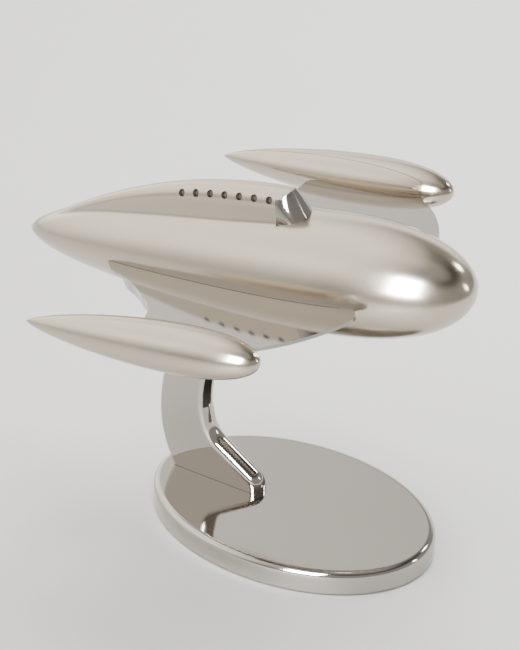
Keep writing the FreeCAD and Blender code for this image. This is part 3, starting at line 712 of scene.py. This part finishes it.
# --------------------------------------------------------------------------- floor
FLOOR_COLOUR = (0.80, 0.80, 0.795)
GRAIN, GRAIN_LOW, GRAIN_HIGH = 5.0, 0.97, 1.03
floor_material, tree, shader = new_material("pale_floor")
place = add_node(tree, "ShaderNodeTexCoord").outputs["Object"]
grain = ramp(tree, noise(tree, place, GRAIN, 5.0), 0.0, 1.0, GRAIN_LOW, GRAIN_HIGH)
toned = add_node(tree, "ShaderNodeVectorMath", operation="SCALE")
toned.inputs[0].default_value = FLOOR_COLOUR
tree.links.new(grain, toned.inputs["Scale"])
tree.links.new(toned.outputs["Vector"], shader.inputs["Base Color"])
shader.inputs["Roughness"].default_value = 0.6
REACH = 6.0
ground = bpy.data.meshes.new("floor")
ground.from_pydata([(-REACH, -REACH, 0), (REACH, -REACH, 0), (REACH, REACH, 0),
                    (-REACH, REACH, 0)], [], [(0, 1, 2, 3)])
floor = bpy.data.objects.new("floor", ground)
bpy.context.scene.collection.objects.link(floor)
paint(floor, floor_material)


# --------------------------------------------------------------------------- studio
def direction(azimuth, elevation):
    a, e = math.radians(azimuth), math.radians(elevation)
    return Vector((math.cos(a) * math.cos(e), math.sin(a) * math.cos(e), math.sin(e)))


AIM = Vector((-0.02, 0.0, 0.2))


def softbox(name, azimuth, elevation, distance, width, height, power):
    light = bpy.data.lights.new(name, "AREA")
    light.shape = "RECTANGLE"
    light.size = width
    light.size_y = height
    light.energy = power
    obj = bpy.data.objects.new(name, light)
    bpy.context.scene.collection.objects.link(obj)
    away = direction(azimuth, elevation)
    obj.location = AIM + away * distance
    obj.rotation_euler = away.to_track_quat("Z", "Y").to_euler()
    return obj


# the softbox that the metal mirrors, and the broad soft light that falls on the floor
key = softbox("key", -82, 32, 2.2, 0.75, 1.35, 330)
key.visible_diffuse = False
fill = softbox("fill", 80, 62, 2.2, 1.8, 1.8, 75)
fill.visible_glossy = False
softbox("rear", 68, 33, 2.4, 0.35, 0.35, 12)
streak = softbox("streak", 26, 18, 2.4, 0.24, 0.5, 8)
streak.visible_diffuse = False

world = bpy.data.worlds.new("studio")
bpy.context.scene.world = world
world.use_nodes = True
tree = world.node_tree
tree.nodes.clear()
out = tree.nodes.new("ShaderNodeOutputWorld")
sky = tree.nodes.new("ShaderNodeBackground")
tree.links.new(sky.outputs["Background"], out.inputs["Surface"])
view = add_node(tree, "ShaderNodeTexCoord").outputs["Generated"]


def lobe(azimuth, elevation, outer, inner):
    """1 within an angle of a direction, fading to 0 at a wider angle."""
    dot = add_node(tree, "ShaderNodeVectorMath", operation="DOT_PRODUCT")
    tree.links.new(view, dot.inputs[0])
    dot.inputs[1].default_value = direction(azimuth, elevation)
    return ramp(tree, dot.outputs["Value"], math.cos(math.radians(outer)),
                math.cos(math.radians(inner)), 0.0, 1.0)


def combined(operation, first, second):
    """A maths node on an output and another output or a number."""
    node = add_node(tree, "ShaderNodeMath", operation=operation)
    tree.links.new(first, node.inputs[0])
    if isinstance(second, (int, float)):
        node.inputs[1].default_value = second
    else:
        tree.links.new(second, node.inputs[1])
    return node.outputs[0]


height = add_node(tree, "ShaderNodeSeparateXYZ")
tree.links.new(view, height.inputs[0])


def band(full, none):
    """1 up to an elevation, fading to 0 at a higher one."""
    return ramp(tree, height.outputs["Z"], math.sin(math.radians(full)),
                math.sin(math.radians(none)), 1.0, 0.0)


rising = ramp(tree, height.outputs["Z"], math.sin(math.radians(4)), math.sin(math.radians(26)),
              0.55, 1.0)
AMBIENT = 0.12
level = add_node(tree, "ShaderNodeValue")
level.outputs[0].default_value = AMBIENT
# broad soft bright regions of the room, each with its strength: low walls, the wall behind the
# tail, the ceiling, the wall behind the far side, and the upper wall there
GLOWS = ((band(30, 48), 0.42),
         (combined("MULTIPLY", lobe(186, 32, 62, 30), rising), 2.3),
         (lobe(-16, 78, 28, 8), 0.5),
         (combined("MULTIPLY", lobe(128, 5, 48, 28), band(12, 24)), 1.6),
         (lobe(135, 60, 40, 15), 0.35))
total = level.outputs[0]
for glow, strength in GLOWS:
    total = combined("ADD", total, combined("MULTIPLY", glow, strength))
tree.links.new(total, sky.inputs["Strength"])
sky.inputs["Color"].default_value = (1.0, 0.97, 0.915, 1)

# --------------------------------------------------------------------------- camera
CAMERA_AZIMUTH, CAMERA_ELEVATION, CAMERA_DISTANCE = -57.09, 34.5, 4.965
LENS, SENSOR = 327, 36
TARGET = Vector((-0.0342, 0.0, 0.1934))
lens = bpy.data.cameras.new("camera")
lens.lens = LENS
lens.sensor_width = SENSOR
lens.clip_end = 30
camera = bpy.data.objects.new("camera", lens)
bpy.context.scene.collection.objects.link(camera)
back = direction(CAMERA_AZIMUTH, CAMERA_ELEVATION)
camera.location = TARGET + back * CAMERA_DISTANCE
camera.rotation_euler = back.to_track_quat("Z", "Y").to_euler()
bpy.context.scene.camera = camera
